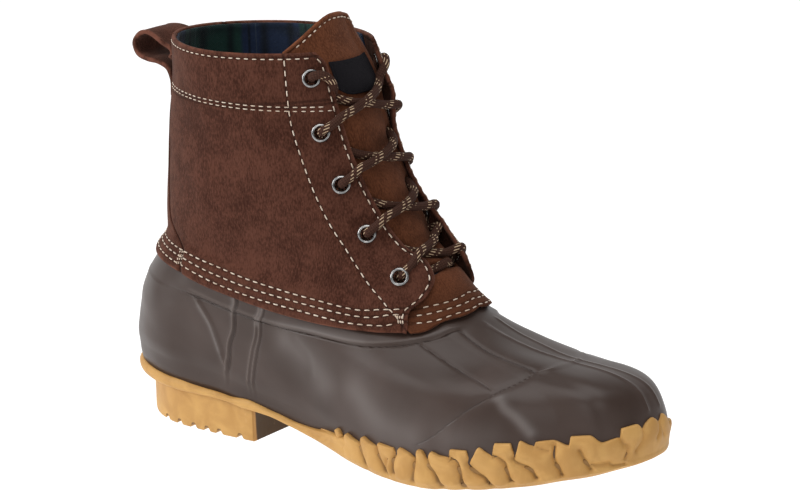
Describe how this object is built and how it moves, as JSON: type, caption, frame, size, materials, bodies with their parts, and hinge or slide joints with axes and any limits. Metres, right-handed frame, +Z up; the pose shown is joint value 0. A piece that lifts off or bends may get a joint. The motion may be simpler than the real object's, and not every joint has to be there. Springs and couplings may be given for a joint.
{
  "type": "insulated boot",
  "caption": "Lace-up insulated boot for the right foot: hollow suede shaft and tongue over a moulded rubber foot, with a wrapped rubber outsole, heel block and pull loop.",
  "frame": {"origin": "on the floor, under the middle of the boot's bounding box", "axes": "+X towards the toe, +Y towards the inner side of the foot, +Z up"},
  "size_m": [0.3179, 0.1066, 0.2241],
  "materials": {
    "suede": "napped brown suede",
    "tan_rubber": "matt tan moulded rubber",
    "dark_rubber": "satin dark brown moulded rubber",
    "felt": "brushed felt",
    "steel": "plated steel",
    "cord": "braided round lace"
  },
  "bodies": {
    "root": {"outsole": "tan_rubber", "rubber_lower": "dark_rubber", "shaft": "suede", "tongue": "suede", "insole": "felt", "pull_loop": "suede", "eyelet_outer_1": "steel", "eyelet_outer_2": "steel", "eyelet_outer_3": "steel", "eyelet_outer_4": "steel", "eyelet_outer_5": "steel", "eyelet_inner_1": "steel", "eyelet_inner_2": "steel", "eyelet_inner_3": "steel", "eyelet_inner_4": "steel", "eyelet_inner_5": "steel", "lace_cross_1": "cord", "lace_cross_2": "cord", "lace_cross_3": "cord", "lace_cross_4": "cord", "lace_bar": "cord"}
  },
  "joints": []
}
